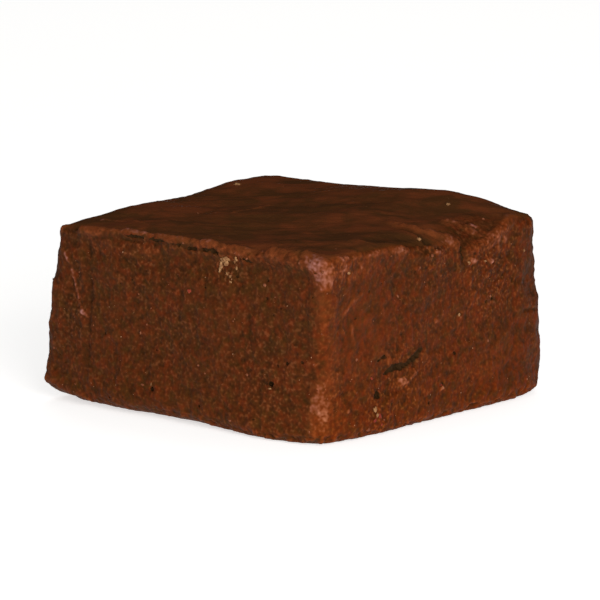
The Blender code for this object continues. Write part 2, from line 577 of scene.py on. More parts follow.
# the block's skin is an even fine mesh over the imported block, which then gets its relief
skinSettings = {
    "weld": 0.001 * mm,  # points closer than this are one
    "voxel": 0.16 * mm,
    "mostTriangles": 186000,
}

reliefSizes = {
    "edgeReach": 26,  # rings of points that the edge finder looks across
    "waveSize": 8.0 * mm,
    "waveDepth": 0.80 * mm,
    "dragSize": 0.8 * mm,  # knife marks down the cut sides
    "dragDepth": 0.22 * mm,
    "lumpSize": 2.3 * mm,
    "lumpDepth": 0.62 * mm,
    "grainSize": 0.70 * mm,
    "grainDepth": 0.36 * mm,
    "rimSize": 2.9 * mm,  # crumbling along every edge
    "rimDepth": 1.15 * mm,
    "uprightCalm": 0.6,  # how much smoother the upright edges are
    "chipSize": 1.8 * mm,  # nicks along the bottom edge
    "chipDepth": 2.6 * mm,
    "chipReach": 2.5 * mm,
    "foldSize": 3.4 * mm,  # soft folds of the poured top
    "foldDepth": 0.20 * mm,
    "foldTurn": -0.7,  # radians from left to right
    "footHeight": 0.9 * mm,
}

reliefClouds = {
    # detail, roughness, bend, stretch
    "wave": (1.0,),
    "drag": (2.0, 0.5, 0.3, (1, 1, 0.18)),
    "lump": (3.0, 0.55, 0.5),
    "grain": (3.0, 0.6, 0.5),
    "rim": (4.0, 0.5, 0.4),
    "chip": (2.0, 0.5),
    "fold": (1.0, 0.5, 1.6, (0.28, 0.8, 1)),
}

reliefLimits = {
    # where each effect starts and is full, then how strong it is at both ends
    "edge": (0.015 * mm, 0.09 * mm),  # by how far a point stands out of its surroundings
    "crest": (0.07 * mm, 0.15 * mm),
    "topSkin": (0.55, 0.85),  # by how far up the surface looks
    "redder": (0.2, 0.8),  # by how far to the right it looks
    "drag": (0.2, 0.8, 1.0, 0.3),
    "lump": (0.0, 1.0, 0.28, 1.0),
    "upright": (0.1, 0.5, 1.0, 0.0),
    "chipStart": 0.3 * mm,
    "chipLift": -0.6,  # a nick also lifts the bottom edge
}


def reliefTree(material, sizes, clouds, limits):
    tree, start, end = newShapeTree("fudgeRelief", sizes)
    given = start.outputs
    place, facing = placeAndFacing(tree)
    softPlace = soften(tree, place, given["edgeReach"])
    softFacing = vecCalc(tree, "NORMALIZE", soften(tree, facing, given["edgeReach"]))
    outwards = vecCalc(tree, "DOT_PRODUCT", vecCalc(tree, "SUBTRACT", place, softPlace), facing)
    right, _, up = split(tree, softFacing)
    height = split(tree, place)[2]
    edge = remap(tree, outwards, *limits["edge"])
    topSkin = remap(tree, up, *limits["topSkin"])
    side = calc(tree, "SUBTRACT", 1.0, topSkin)

    def lumps(name, where=place):
        return cloud(tree, where, given[name + "Size"], *clouds[name])

    def rise(name, *shares, where=place):
        return times(tree, lumps(name, where), given[name + "Depth"], *shares)

    drag = rise("drag", side, remap(tree, right, *limits["drag"]))
    lump = rise("lump", remap(tree, side, *limits["lump"], "LINEAR"))
    upright = remap(tree, calc(tree, "ABSOLUTE", up), *limits["upright"])
    upright = times(tree, upright, given["uprightCalm"])
    crumble = rise("rim", edge, calc(tree, "SUBTRACT", 1.0, upright))
    aslant = {"Vector": place, "Angle": given["foldTurn"]}
    aslant = put(tree, "ShaderNodeVectorRotate", aslant, rotation_type="Z_AXIS").outputs[0]
    fold = rise("fold", topSkin, where=aslant)
    low = remap(tree, height, limits["chipStart"], given["chipReach"], 1.0, 0.0)
    nicks = times(tree, calc(tree, "ABSOLUTE", lumps("chip")), given["chipDepth"], edge, low, -1.0)

    grain = rise("grain", shapeMark(tree, "crumbly"))
    push = vecCalc(tree, "SCALE", facing, addUp(tree, rise("wave"), drag, lump, grain, crumble, fold, nicks))
    pushX, pushY, pushZ = split(tree, push)
    pushZ = times(tree, pushZ, remap(tree, height, 0.0, given["footHeight"]))
    pushZ = addUp(tree, pushZ, times(tree, nicks, limits["chipLift"]))
    moved = put(tree, "ShaderNodeCombineXYZ", {0: pushX, 1: pushY, 2: pushZ}).outputs[0]
    crest = remap(tree, outwards, *limits["crest"])
    redder = remap(tree, right, *limits["redder"])
    shaped = shifted(tree, given["Geometry"], moved)
    shaped = keep(tree, shaped, topSkin=topSkin, edge=edge, crest=crest, redder=redder)
    return finishShapeTree(tree, shaped, material, end)


def smoothBlock(settings):
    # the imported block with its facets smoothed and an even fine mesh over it
    bm = bmesh.new()
    bm.from_mesh(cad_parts[blockNode].data)
    bmesh.ops.remove_doubles(bm, verts=bm.verts, dist=settings["weld"])
    skin = newObject("fudgeSkin", meshFrom(bm, "fudgeSkin"))
    smooth = skin.modifiers.new("smooth", "SUBSURF")
    smooth.levels = 1
    smooth.render_levels = 1
    makeEven(skin, settings["voxel"])
    return skin


crumblySpots = {
    "sides": 0.42,  # how crumbly the cut sides and the top are anywhere
    "top": 0.10,
    "topFacing": (0.5, 0.9),  # how far up the surface looks where the top starts
}
crumblyRows = {
    # reach in mm, how much crumblier, place
    "front": [
        (9.0, 0.28, (800, 280)), (7.0, 0.16, (450, 400)), (5.0, 0.4, (350, 860)), (4.0, 0.5, (640, 840)),
        (4.0, 0.4, (130, 480)), (3.0, -0.35, (960, 800)), (3.0, -0.35, (960, 560)), (1.6, 0.6, (950, 250)),
    ],
    "right": [
        (8.0, 0.6, (720, 700)), (8.0, -0.35, (180, 600)), (8.0, -0.25, (780, 220)), (6.0, 0.6, (320, 270)),
        (4.0, 0.6, (60, 860)), (5.0, 0.45, (480, 820)), (4.0, 0.5, (220, 100)),
    ],
    "top": [
        (5.5, 0.6, (940, 680)), (3.5, 0.3, (940, 540)), (4.0, 0.25, (930, 900)),
    ],
}

# where the poured top is broken away and the paste shows
bareCore = 0.3  # share of the reach where it is as bare as it gets
bareRows = {
    # reach in mm, how bare, place
    "top": [
        (5.0, 1.0, (950, 650)), (4.5, 0.8, (935, 730)), (2.5, 0.6, (940, 560)),
    ],
    "frontRim": [(1.5, 0.9, (20 + 35 * number, -1100)) for number in range(20)],  # under the lip
}

# a place on a side is a pair of thousandths of the block: left to right or front to back, then up;
# on the top it is left to right, then front to back
faceAxes = {
    # the two axes that a place runs along, and the way the face looks
    "front": (0, 2, Vector((0, -1, 0))),
    "right": (1, 2, Vector((1, 0, 0))),
    "top": (0, 1, Vector((0, 0, 1))),
}

# along the two top edges that show, a place is how far along the edge and how far from it, in
# thousandths of a mm: above zero over the top, below zero down the side
rimAxes = {
    # the axis that the edge runs along, and the way out of the side under it
    "frontRim": (0, Vector((0, -1, 0))),
    "rightRim": (1, Vector((1, 0, 0))),
}

placing = {
    "parts": 1000,  # places are written in thousandths
    "slide": 0.01,  # share of the way to the middle that a place past an edge slides in at a time
    "tries": 30,  # lines to each side that look for the edge
    "step": 0.08,  # mm between them
    "away": 5,  # mm from the edge where the line to a place near it starts
}


def placeOnRim(surface, face, along, over):
    # the edge is where the block reaches furthest out and up at once
    axis, out = rimAxes[face]
    top = Vector((0, 0, 1))
    slant = (out + top) / math.sqrt(2.0)
    start = out * max(blockSize) + top * (blockHigh.z + max(blockSize) - abs(out.dot(blockHigh)))
    hits = []
    while not hits:
        start[axis] = blockLow[axis] + along * blockSize[axis]
        for step in range(-placing["tries"], placing["tries"] + 1):
            hit = surface.ray_cast(start + (top - out) * step * placing["step"] * mm, -slant)[0]
            if hit:
                hits.append(hit)
        along += (0.5 - along) * placing["slide"]
    edge = max(hits, key=slant.dot)
    if over >= 0:
        return surface.ray_cast(edge - out * over * mm + top * placing["away"] * mm, -top)[:2]
    return surface.ray_cast(edge + top * over * mm + out * placing["away"] * mm, -out)[:2]


def placeOn(surface, face, along, up):
    # the point of the block at this place of a face, and the way out of the paste there;
    # a place just past an edge slides in until it meets the block
    along /= placing["parts"]
    up /= placing["parts"]
    if face in rimAxes:
        return placeOnRim(surface, face, along, up)
    first, second, out = faceAxes[face]
    point = None
    while point is None:
        start = out * 2.0 * max(blockSize)
        start[first] = blockLow[first] + along * blockSize[first]
        start[second] = blockLow[second] + up * blockSize[second]
        point, facing = surface.ray_cast(start, -out)[:2]
        along += (0.5 - along) * placing["slide"]
        up += (0.5 - up) * placing["slide"]
    return point, facing


def byFace(table):
    return [(face, *row) for face, rows in table.items() for row in rows]


def awayFrom(points, surface, face, place):
    return np.linalg.norm(points - np.array(placeOn(surface, face, *place)[0]), axis=1)


def markCrumbly(mesh, settings, rows):
    surface = treeOf(mesh)
    points = readPoints(mesh)
    onTop = smoothStep(*settings["topFacing"], readNormals(mesh)[:, 2])
    amount = settings["sides"] + (settings["top"] - settings["sides"]) * onTop
    for face, reach, more, place in byFace(rows):
        amount += more * smoothStep(reach * mm, 0.0, awayFrom(points, surface, face, place))
    writeMark(mesh, "crumbly", amount)


def bareTop(mesh, core, rows):
    surface = treeOf(mesh)
    points = readPoints(mesh)
    amount = readMark(mesh, "topSkin")
    for face, reach, bare, place in byFace(rows):
        away = awayFrom(points, surface, face, place)
        amount *= 1.0 - bare * smoothStep(reach * mm, core * reach * mm, away)
    writeMark(mesh, "topSkin", amount)


fudgeSkin = smoothBlock(skinSettings)
print("skin has", len(fudgeSkin.data.vertices), "points before its relief")
markCrumbly(fudgeSkin.data, crumblySpots, crumblyRows)
shaping = reliefTree(fudgeMaterial, reliefSizes, reliefClouds, reliefLimits)
applyTree(fudgeSkin, shaping, reliefSizes)
bareTop(fudgeSkin.data, bareCore, bareRows)
print("relief is shaped")


# the right rim of the top sank in one place while the paste was soft
sagSettings = {
    "depths": [
        # share from front to back, and how deep in mm
        (0.36, 0.0), (0.45, 0.6), (0.56, 1.5), (0.69, 2.3), (0.74, 1.4), (0.8, 0.0), (0.89, 0.0),
        (0.945, 0.8), (1.0, 1.4),
    ],
    "overTop": 6.0 * mm,  # how far it reaches from the rim over the top and down the side
    "downSide": 11.0 * mm,
    "rim": 0.9 * mm,
    "softness": 0.03,
    "blunt": (21.3 * mm, 20.8 * mm, 0.0),  # the foot of the far right edge is blunt round this place
    "bluntReach": 4.2 * mm,
    "bluntPush": 1.5 * mm,
    "bluntWay": (-0.55, -0.55, 0.6),
}


def sinkRim(mesh, settings):
    points = readPoints(mesh)
    along = (points[:, 1] - blockLow.y) / blockSize.y
    shares, depths = zip(*settings["depths"])
    shifts = settings["softness"] * np.linspace(-1.0, 1.0, 7)
    depth = np.mean([np.interp(along + shift, shares, depths) for shift in shifts], axis=0) * mm
    depth *= smoothStep(blockHigh.x - settings["overTop"], blockHigh.x - settings["rim"], points[:, 0])
    depth *= smoothStep(blockHigh.z - settings["downSide"], blockHigh.z - settings["rim"], points[:, 2])
    points[:, 2] -= depth
    away = points - np.array(settings["blunt"])
    near = smoothStep(settings["bluntReach"], 0.0, np.linalg.norm(away, axis=1))
    points += near[:, None] * settings["bluntPush"] * np.array(settings["bluntWay"])
    writePoints(mesh, points)


sinkRim(fudgeSkin.data, sagSettings)


# single marks that the knife, the pan and handling left, and painted highlights and painted shade along the
# lip, the edges, the fold and the grooves
markSettings = {
    "breakSize": 1.1 * mm,  # the marks are broken up over this length
    "breakDepth": 1.6,
    "breakNoise": (0.8, 2.0, 3),  # how rough, how much finer each layer is, layers
    "long": 3.0,  # a mark longer than this many half widths fades out at its ends
    "taper": (-0.3, 2.5),  # half widths from the end where it is gone and where it is full
    "footShadow": 0.20,  # painted shadow along the foot where it meets the floor
    "footHeight": 0.8 * mm,
    "footCalm": 1.0 * mm,  # the marks fade out below this height
    "tones": (-0.8, 0.9),  # no darker and no paler than this
}
markRows = {
    # half width and height in mm, how broken, tone from dark -1 to pale 1 (painted shade and highlights as
    # well as darker and paler paste), route
    "frontRim": [
        # the lip, with a painted highlight along its edge and painted shadow under it
        (0.75, 0.46, 0.1, 0.02, [(0, 150), (150, 150), (300, 150), (450, 150), (600, 150), (720, 300)]),
        (0.4, -0.06, 0.3, -0.34, [(20, -280), (150, -280), (300, -280), (450, -320), (560, -400),
            (660, -520)]),
        (0.4, 0.1, 0.2, 0.12, [(10, 120), (150, 120), (300, 120), (400, 120)]),
        (0.38, 0.16, 0.2, 0.16, [(280, 120), (360, 120), (440, 120), (520, 120), (600, 120)]),
        (1.4, 0.1, 0.4, 0.06, [(560, -100), (640, -100), (720, 0), (820, 0), (920, 0), (990, 0)]),
        (1.6, 0.55, 0.1, -0.09, [(790, 200), (845, 300), (890, 200)]),
    ],
    "front": [
        # the lip and what shows under it
        (0.9, -0.1, 0.5, 0.0, [(200, 895), (400, 900), (600, 880)]),
        (1.2, 0.05, 0.7, 0.05, [(80, 870), (200, 875), (300, 870), (430, 860)]),
        # a scratch, a streak and a groove near the left end, the groove darkened with painted shade
        (0.28, 0.14, 0.8, 0.32, [(85, 795), (110, 721), (138, 542), (162, 489)]),
        (0.3, 0.14, 0.4, 0.55, [(150, 500), (166, 485)]), (0.36, 0.12, 0.4, 0.4, [(130, 940), (174, 895)]),
        (0.75, -0.15, 0.8, -0.33, [(168, 900), (173, 600), (165, 300), (162, 200)]),
        (0.6, 0.08, 0.5, 0.05, [(148, 900), (152, 600), (146, 300)]),
        # the upright edge between the two cut sides: painted shade in the groove beside it, and a painted
        # pinkish highlight along it
        (0.8, -0.1, 0.5, -0.12, [(902, 860), (908, 760), (905, 558), (898, 343), (896, 155)]),
        (2.5, 0.1, 0.1, 0.0, [(950, 960), (948, 766), (946, 483), (942, 253), (935, 0)]),
        (3.5, 0.0, 0.3, -0.1, [(760, 800), (815, 720)]),
        (1.6, 0.08, 0.4, 0.25, [(930, 930), (954, 900), (957, 850)]),
        (1.3, 0.04, 0.5, 0.08, [(957, 860), (956, 780), (953, 700)]),
        (1.6, 0.06, 0.5, 0.27, [(938, 340), (934, 250), (930, 40)]),
        # the front of the top
        (0.9, 0.05, 0.5, 0.07, [(650, 925), (800, 930), (890, 930)]),
    ],
    "right": [
        # the upright edge between the two cut sides, a little paler with the painted highlight along it
        (1.6, 0.0, 0.4, 0.05, [(55, 700), (58, 400), (55, 60)]),
        # the shoulder and the far edge, with a painted highlight along the shoulder and painted shade on the
        # far facet
        (1.0, 0.4, 0.3, 0.2, [(870, 948), (809, 921), (772, 889), (716, 845), (665, 836), (630, 828)]),
        (4.0, -0.43, 0.1, -0.3, [(960, 930), (940, 760), (920, 620)]),
        (0.3, -0.2, 0.5, -0.25, [(849, 455), (930, 445), (1000, 430)]),
        (3.0, 0.2, 0.0, 0.0, [(990, 200), (990, 500)]),
        # the cut side
        (2.6, 0.0, 0.3, -0.1, [(140, 870), (260, 860)]), (3.2, 0.0, 0.3, -0.12, [(400, 760), (540, 720)]),
        (2.4, -0.06, 0.3, -0.14, [(200, 770), (330, 780), (560, 740)]),
        (1.6, 0.05, 1.0, 0.24, [(50, 880), (150, 865), (240, 840)]),
        (1.6, 0.04, 0.7, 0.07, [(130, 480), (150, 360), (140, 260)]),
        (2.0, 0.05, 0.6, 0.06, [(560, 180), (700, 240), (820, 330)]),
        (1.2, -0.06, 0.6, -0.12, [(330, 620), (420, 580), (520, 610)]),
        (0.4, 0.08, 0.6, 0.14, [(90, 640), (130, 710), (190, 750)]),
        (1.1, 0.05, 0.6, 0.05, [(60, 520), (85, 300), (80, 120)]),
        (0.3, 0.08, 0.6, 0.22, [(130, 600), (136, 500)]), (0.45, 0.16, 0.5, 0.24, [(411, 352), (425, 350)]),
        (0.6, 0.18, 1.0, 0.18, [(400, 300), (368, 282), (344, 250), (286, 237)]),
        (0.3, 0.14, 0.4, 0.35, [(226, 262), (232, 262)]), (0.28, 0.12, 0.4, 0.34, [(482, 165), (490, 168)]),
        (0.35, 0.12, 0.5, 0.24, [(475, 512), (490, 508)]), (0.3, 0.12, 0.5, 0.3, [(574, 508), (580, 500)]),
        (0.28, 0.12, 0.5, 0.26, [(94, 572), (100, 560)]), (0.28, 0.12, 0.5, 0.26, [(112, 160), (116, 165)]),
        (0.6, 0.16, 0.8, 0.22, [(637, 775), (650, 770)]), (0.5, 0.16, 0.8, 0.22, [(710, 755), (720, 750)]),
        (0.7, 0.16, 0.8, 0.2, [(759, 823), (790, 840)]),
        (0.55, 0.12, 0.5, 0.2, [(58, 937), (251, 924), (465, 897), (570, 888)]),
        (1.1, 0.06, 0.8, 0.05, [(700, 640), (560, 530), (490, 500)]),
        # the fold at the right of the top, with painted highlights on its ridges and painted shade in the
        # groove and crevice beside them
        (0.5, 0.12, 0.3, 0.12, [(515, 874), (549, 866), (584, 862)]),
        (0.45, -0.22, 0.2, -0.7, [(448, 925), (462, 900), (479, 884), (505, 872)]),
        (0.9, 0.12, 0.3, 0.1, [(196, 900), (315, 880), (434, 847), (533, 815)]),
        (0.9, -0.25, 0.3, -0.45, [(616, 862), (595, 825), (604, 780)]),
        (0.5, 0.18, 0.6, 0.28, [(395, 800), (405, 800)]), (0.55, 0.18, 0.6, 0.28, [(455, 785), (468, 783)]),
        (0.5, 0.15, 0.6, 0.26, [(472, 866), (492, 862)]), (0.4, 0.12, 0.6, 0.24, [(430, 850), (438, 848)]),
    ],
    "top": [
        # the front of the top
        (2.6, 0.28, 0.3, 0.12, [(680, 70), (760, 85), (850, 60), (920, 45)]),
        # the fold at the right of the top, with painted highlights on its ridges and painted shade in its
        # hollows and under its ridge
        (0.95, 0.42, 0.2, 0.12, [(760, 525), (840, 505), (895, 500), (925, 528)]),
        (1.3, 0.5, 0.2, 0.11, [(918, 525), (935, 560), (950, 582)]),
        (0.5, -0.28, 0.2, -0.75, [(810, 484), (870, 478), (912, 470), (950, 457), (966, 452)]),
        (2.1, -0.3, 0.2, -0.45, [(900, 300), (926, 384), (950, 425)]),
        (1.2, 0.3, 0.4, 0.15, [(875, 650), (899, 674), (915, 690)]),
        (0.5, 0.14, 0.6, 0.2, [(925, 690), (939, 705), (948, 735)]),
        (0.4, 0.12, 0.6, 0.2, [(900, 700), (919, 716), (925, 745)]),
        (1.4, -0.15, 0.3, -0.2, [(922, 790), (932, 750)]),
        # fine scratches
        (0.4, 0.1, 0.5, 0.08, [(364, 370), (350, 480), (342, 574)]),
        (0.4, 0.1, 0.5, 0.08, [(300, 110), (220, 140), (130, 120)]),
    ],
    "rightRim": [
        # the cut side
        (1.4, 0.05, 0.4, 0.08, [(20, -300), (70, -500), (120, -600)]),
    ],
}


def alongRoute(points, stops):
    # how far each point is from the route, and how far along it
    lengths = [np.linalg.norm(b - a) for a, b in zip(stops, stops[1:])]
    away = np.full(len(points), np.inf)
    along = np.zeros(len(points))
    for first, last, length, before in zip(stops, stops[1:], lengths, np.cumsum([0.0, *lengths])):
        line = last - first
        share = np.clip(((points - first) @ line) / length**2, 0.0, 1.0)
        distance = np.linalg.norm(points - first - share[:, None] * line, axis=1)
        closer = distance < away
        away[closer] = distance[closer]
        along[closer] = before + share[closer] * length
    return away, along, sum(lengths)


def pressMarks(mesh, settings, rows):
    # each mark is a soft ridge or groove along its route, and it shades the paste paler or darker: pale
    # scratches and streaks, but also painted highlights on lit edges and ridges and painted shade in
    # grooves, hollows and under the lip
    surface = treeOf(mesh)
    points = readPoints(mesh)
    normals = readNormals(mesh)
    total = np.zeros(len(points))
    shade = np.zeros(len(points))
    faded, full = settings["taper"]
    for face, halfWidth, height, broken, toneAndPaintedLight, route in byFace(rows):
        stops = [np.array(placeOn(surface, face, *stop)[0]) for stop in route]
        away, along, length = alongRoute(points, stops)
        near = np.where(away < halfWidth * mm)[0]
        bell = (1.0 - (away[near] / (halfWidth * mm)) ** 2) ** 2
        if length > settings["long"] * halfWidth * mm:
            fromEnd = np.minimum(along[near], length - along[near])
            bell *= smoothStep(faded * halfWidth * mm, full * halfWidth * mm, fromEnd)
        spots = [Vector(point) / settings["breakSize"] for point in points[near]]
        rough = [noise.fractal(spot, *settings["breakNoise"]) for spot in spots]
        uneven = 1.0 + broken * settings["breakDepth"] * np.array(rough)
        total[near] += height * mm * bell * uneven
        shade[near] += toneAndPaintedLight * np.sqrt(bell) * np.clip(uneven, 0.0, 2.0)
    total *= smoothStep(0.0, settings["footCalm"], points[:, 2])
    # painted shadow along the foot
    shade -= settings["footShadow"] * smoothStep(settings["footHeight"], 0.0, points[:, 2])
    writePoints(mesh, points + normals * total[:, None])
    writeMark(mesh, "toneAndPaintedLight", np.clip(shade, *settings["tones"]))


pressMarks(fudgeSkin.data, markSettings, markRows)
print("marks pressed:", len(byFace(markRows)))

# how worn each point is, which also paints a highlight on what stands out, and how much painted shade each
# hollow gets, kept on the mesh for the material
wearSizes = {
    "reach": 5,
    "proud": 0.045 * mm,
    "sunk": 0.075 * mm,
    "fineWearAndHighlight": 0.19,
    "crestWearAndHighlight": 0.45,
    "crestLeast": 0.12,
    "hollow": 0.55,
}


def wearTree(material, sizes):
    tree, start, end = newShapeTree("fudgeWearHighlightAndShade", sizes)
    given = start.outputs
    place, facing = placeAndFacing(tree)
    close = vecCalc(tree, "SUBTRACT", place, soften(tree, place, given["reach"]))
    proud = vecCalc(tree, "DOT_PRODUCT", close, facing)
    fine = remap(tree, proud, 0.0, given["proud"])
    crest = blend(tree, (given["crestWearAndHighlight"], given["crestLeast"]), fine)
    crest = times(tree, shapeMark(tree, "crest"), crest)
    wear = addUp(tree, times(tree, fine, given["fineWearAndHighlight"]), crest, clamp=True)
    hollow = remap(tree, calc(tree, "SUBTRACT", 0.0, proud), 0.0, given["sunk"])
    hollow = times(tree, hollow, given["hollow"])
    shaped = keep(tree, given["Geometry"], wear=wear, hollow=hollow)
    return finishShapeTree(tree, shaped, material, end)


applyTree(fudgeSkin, wearTree(fudgeMaterial, wearSizes), wearSizes)
print("wear is marked")

# air holes, splits and other hollows, cut out of the skin
holeRows = {
    # place, then half length, half height and depth in mm
    "front": [
        (793, 290, 0.42, 0.34, 0.4), (398, 165, 0.24, 0.26, 0.3), (844, 406, 0.18, 0.2, 0.25),
    ],
    "right": [
        (252, 394, 0.42, 0.2, 0.4), (234, 384, 0.3, 0.16, 0.35), (224, 211, 0.64, 0.42, 0.5),
        (542, 326, 0.26, 0.26, 0.5), (717, 559, 0.22, 0.28, 0.4), (689, 547, 0.22, 0.18, 0.35),
        (428, 113, 0.24, 0.18, 0.28), (486, 185, 0.26, 0.22, 0.2), (278, 150, 0.16, 0.2, 0.22),
    ],
}
splitRows = [
    # face, then place and half width in mm along the split
    ("right", [(252, 306, 0.16), (268, 314, 0.32), (292, 332, 0.48), (316, 330, 0.5), (338, 328, 0.28),
        (358, 345, 0.44), (382, 365, 0.46), (408, 390, 0.3)]),
    ("frontRim", [(300, -620, 0.1), (325, -660, 0.22), (345, -640, 0.24), (368, -660, 0.12)]),
    ("frontRim", [(380, -660, 0.14), (405, -720, 0.28), (430, -760, 0.2), (448, -820, 0.12)]),
    ("frontRim", [(464, -850, 0.12), (482, -880, 0.25), (500, -880, 0.14)]),
    ("frontRim", [(514, -920, 0.16), (530, -920, 0.26), (546, -900, 0.12)]),
    ("frontRim", [(562, -950, 0.2), (590, -1000, 0.34), (614, -1000, 0.18)]),
    ("frontRim", [(675, -1100, 0.12), (700, -1120, 0.22), (728, -1100, 0.1)]),
    ("right", [(616, 862, 0.1), (600, 845, 0.22), (594, 822, 0.26), (598, 800, 0.22), (606, 775, 0.1)]),
]
holeSettings = {
    "step": 0.12 * mm,  # between the balls that a split is made of
    "uneven": 0.5,  # how much their size changes
    "shake": 0.1,  # mm that they stray
    "flatness": 0.8,  # depth of a split against its half width
    "voxel": 0.08 * mm,
    "roughSize": 0.42 * mm,
    "roughDepth": 0.17 * mm,
    "hollow": 0.95,  # how much painted shade the walls get
}

airHoleSizes = {
    "spacing": 0.8 * mm,
    "density": 0.12,  # tries for each square mm
    "smallest": 0.06 * mm,
    "largest": 0.22 * mm,
    "seed": 4,
}

airHoleSpread = {
    # where each effect starts and is full, then how strong it is at both ends
    "side": (0.4, 0.8, 1.0, 0.12),  # by how far up the surface looks
    "under": (-0.7, -0.4),
    "clump": (-0.12, 0.15),
    "clumpSize": 5.0 * mm,
    "rarity": 3.5,  # the higher, the rarer the large ones
    "squash": ((0.7, 0.6, 0.8), (1.3, 1.0, 1.2), 9),  # least and most, and the seed
    "ballPoints": 42,
    # how much painted shade the walls of the air holes get
    "hollow": 0.8,
}

blobShape = {
    "rough": 0.45,
    "fineness": 1.3,
    "apart": 3.7,  # how far one blob is from the next in the noise
}


def addBlob(bm, place, facing, halfLength, halfHeight, depth, seed, fineness=2):
    # an uneven ball squashed along the surface, its middle in the surface
    side = facing.cross(Vector((0, 0, 1))).normalized()
    up = side.cross(facing)
    turn = Matrix((side, up, facing)).transposed().to_4x4()
    size = Matrix.Diagonal((halfLength * mm, halfHeight * mm, depth * mm, 1.0))
    made = bmesh.ops.create_icosphere(bm, subdivisions=fineness, radius=1.0)
    for vert in made["verts"]:
        where = vert.co * blobShape["fineness"] + Vector((seed * blobShape["apart"], 0, 0))
        vert.co *= 1.0 + blobShape["rough"] * noise.noise(where)
        vert.co = Matrix.Translation(place) @ turn @ size @ vert.co


def addSplit(bm, stops, settings, seed):
    # a row of overlapping balls of changing size; each stop is (point, way out, half width)
    for (first, out, firstHalf), (last, _, lastHalf) in zip(stops, stops[1:]):
        count = max(2, round((last - first).length / settings["step"]))
        for step in range(count):
            share = step / count
            place = first.lerp(last, share)
            shake = noise.noise_vector(place / settings["roughSize"] + Vector((seed, 0, 0)))
            half = (firstHalf + (lastHalf - firstHalf) * share) * (1.0 + settings["uneven"] * shake.x)
            place += shake * settings["shake"] * mm
            addBlob(bm, place, out, half, half, half * settings["flatness"], seed, 1)


def placedHoles(surface, settings, rows, splits):
    # all hollows in one closed cutter with rough walls
    bm = bmesh.new()
    for seed, (face, along, up, *sizes) in enumerate(byFace(rows)):
        point, facing = placeOn(surface, face, along, up)
        addBlob(bm, point, facing, *sizes, seed)
    for seed, (face, route) in enumerate(splits):
        out = {**faceAxes, **rimAxes}[face][-1]
        stops = [(placeOn(surface, face, along, up)[0], out, half) for along, up, half in route]
        addSplit(bm, stops, settings, seed)
    bmesh.ops.recalc_face_normals(bm, faces=bm.faces)
    cutter = newObject("placedHoles", meshFrom(bm, "placedHoles"))
    makeEven(cutter, settings["voxel"])
    roughen(cutter.data, settings["roughSize"], settings["roughDepth"])
    return cutter


def spreadOver(tree, spread):
    # the shares of sides against the top, of all but the underside, and of clumps
    place, facing = placeAndFacing(tree)
    up = split(tree, facing)[2]
    onSide = remap(tree, up, *spread["side"])
    notUnder = remap(tree, up, *spread["under"])
    return onSide, notUnder, remap(tree, cloud(tree, place, spread["clumpSize"]), *spread["clump"])


def airHoleTree(material, sizes, spread):
    # small uneven balls in the sides and a few in the top
    tree, start, end = newShapeTree("fudgeAirHoles", sizes)
    given = start.outputs
    points = strew(tree, given, times(tree, *spreadOver(tree, spread)))
    ball = put(tree, "GeometryNodeMeshIcoSphere", {"Radius": 1.0, "Subdivisions": 2})
    radius = anyRadius(tree, given, spread["rarity"])
    settings = {
        "Points": points[0],
        "Instance": ball.outputs[0],
        "Rotation": points["Rotation"],
        "Scale": vecCalc(tree, "SCALE", anyVector(tree, *spread["squash"]), radius),
    }
    balls = put(tree, "GeometryNodeInstanceOnPoints", settings)
    return finishShapeTree(tree, balls.outputs[0], material, end)


def shadeHollowWalls(mesh, amount):
    # the walls of a hole are its cutter's faces, so the marks are set on the cutter, with painted shade on
    # the walls
    for name in ("wear", "topSkin", "edge", "crest", "redder", "toneAndPaintedLight", "crumbly"):
        writeMark(mesh, name, np.zeros(len(mesh.vertices)))
    writeMark(mesh, "hollow", np.full(len(mesh.vertices), amount))


def cutOut(skin, cutter):
    knife = skin.modifiers.new("cut", "BOOLEAN")
    knife.operation = "DIFFERENCE"
    knife.solver = "MANIFOLD"
    knife.object = cutter
    applyAll(skin)
    bpy.data.objects.remove(cutter)


def markCuts(mesh, cutters, reach=0.8 * mm, margin=0.1 * mm):
    # where a cutter takes the skin away or comes this close, so that no crumb hangs over a hole
    amount = readMark(mesh, "hollow")
    points = [Vector(p) for p in readPoints(mesh)]
    for cutter in cutters:
        surface = treeOf(cutter)
        for number, point in enumerate(points):
            nearest, facing, _, away = surface.find_nearest(point, reach)
            if nearest and (away < margin or (point - nearest).dot(facing) < 0.0):
                amount[number] = 1.0
    writeMark(mesh, "hollow", amount)


def keepLargest(mesh):
    # a cut can leave loose specks, which are dropped; returns how many there were
    bm = bmesh.new()
    bm.from_mesh(mesh)
    seen = set()
    groups = []
    for vert in bm.verts:
        if vert in seen:
            continue
        group = [vert]
        seen.add(vert)
        for current in group:
            for linked in current.link_edges:
                other = linked.other_vert(current)
                if other not in seen:
                    seen.add(other)
                    group.append(other)
        groups.append(group)
    largest = max(groups, key=len)
    loose = [vert for group in groups if group is not largest for vert in group]
    bmesh.ops.delete(bm, geom=loose, context="VERTS")
    bm.to_mesh(mesh)
    bm.free()
    return len(groups) - 1


